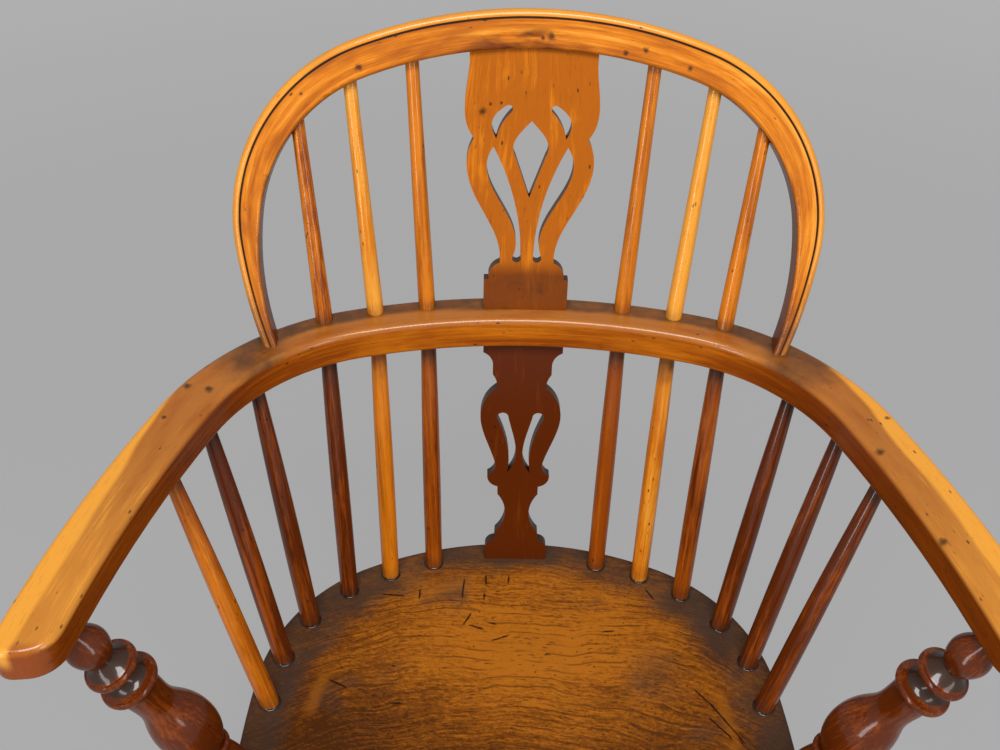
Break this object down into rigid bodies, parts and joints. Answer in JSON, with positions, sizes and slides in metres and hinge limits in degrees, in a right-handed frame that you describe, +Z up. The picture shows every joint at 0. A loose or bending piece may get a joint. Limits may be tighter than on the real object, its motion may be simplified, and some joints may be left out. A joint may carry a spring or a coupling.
{
  "type": "windsor armchair",
  "caption": "Low-back windsor armchair: dished plank seat, hooped stick back with pierced splats, bent arm bow, turned arm supports and legs, bowed stretcher.",
  "frame": {"origin": "on the floor, under the middle of the chair's box", "axes": "+Z up, -Y the way the sitter faces, +X to the right of someone facing the chair"},
  "size_m": [0.6166, 0.4726, 0.887],
  "materials": {
    "seat": "waxed elm, worn in the dish",
    "bows": "polished yew, golden with a red cast",
    "sticks": "polished yew, dark red-brown to gold",
    "splats": "polished yew, mid-brown",
    "arm_supports": "polished turned wood, dark red-brown",
    "pegs": "waxed hardwood",
    "legs": "polished turned wood",
    "stretcher": "polished bent and turned wood"
  },
  "bodies": {
    "root": {"arm_bow": "bows", "arm_peg_left": "pegs", "arm_peg_right": "pegs", "arm_support_left": "arm_supports", "arm_support_right": "arm_supports", "back_leg_left": "legs", "back_leg_right": "legs", "front_leg_left": "legs", "front_leg_right": "legs", "hoop": "bows", "long_stick_1_left": "sticks", "long_stick_1_right": "sticks", "long_stick_2_left": "sticks", "long_stick_2_right": "sticks", "long_stick_3_left": "sticks", "long_stick_3_right": "sticks", "lower_splat": "splats", "seat": "seat", "short_stick_1_left": "sticks", "short_stick_1_right": "sticks", "short_stick_2_left": "sticks", "short_stick_2_right": "sticks", "short_stick_3_left": "sticks", "short_stick_3_right": "sticks", "stretcher_bow": "stretcher", "stretcher_spur_left": "stretcher", "stretcher_spur_right": "stretcher", "upper_splat": "splats"}
  },
  "joints": []
}
